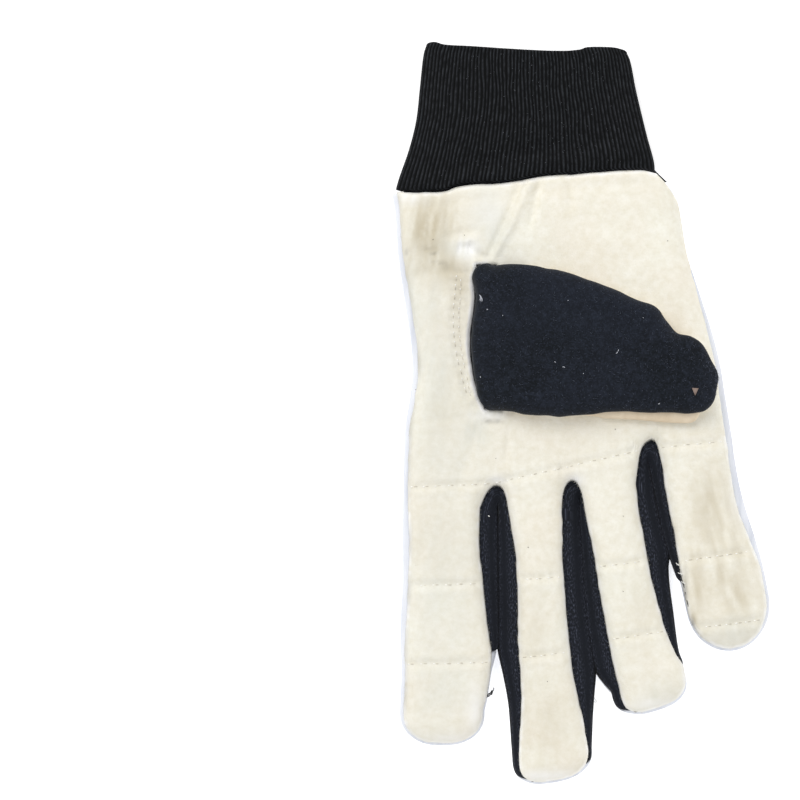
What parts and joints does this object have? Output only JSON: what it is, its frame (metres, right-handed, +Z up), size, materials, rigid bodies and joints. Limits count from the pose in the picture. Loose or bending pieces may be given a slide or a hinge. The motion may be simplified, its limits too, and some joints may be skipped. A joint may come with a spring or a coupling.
{
  "type": "wicketkeeping inner glove",
  "caption": "Padded-palm inner glove of chamois and knit with a ribbed cuff, lying palm up with its thumb folded over the palm, worn inside a wicketkeeping glove.",
  "frame": {"origin": "on the surface that the glove lies on, under the middle of its palm", "axes": "+X from the index finger's side to the little finger's side, +Y from the fingers to the cuff, +Z up out of the palm"},
  "size_m": [0.1314, 0.2597, 0.0246],
  "materials": {
    "chamois_palm": "napped cream chamois",
    "chamois_thumb": "napped cream chamois",
    "white_knit": "white stretch knit",
    "black_knit": "black jersey knit",
    "black_thumb_knit": "black brushed knit",
    "black_rib": "black rib knit"
  },
  "bodies": {
    "root": {"palm_panel": "chamois_palm", "back_panel": "white_knit", "fourchette_index_middle": "black_knit", "fourchette_middle_ring": "black_knit", "fourchette_ring_little": "black_knit", "thumb_back": "black_thumb_knit", "thumb_front": "chamois_thumb", "cuff": "black_rib"}
  },
  "joints": []
}
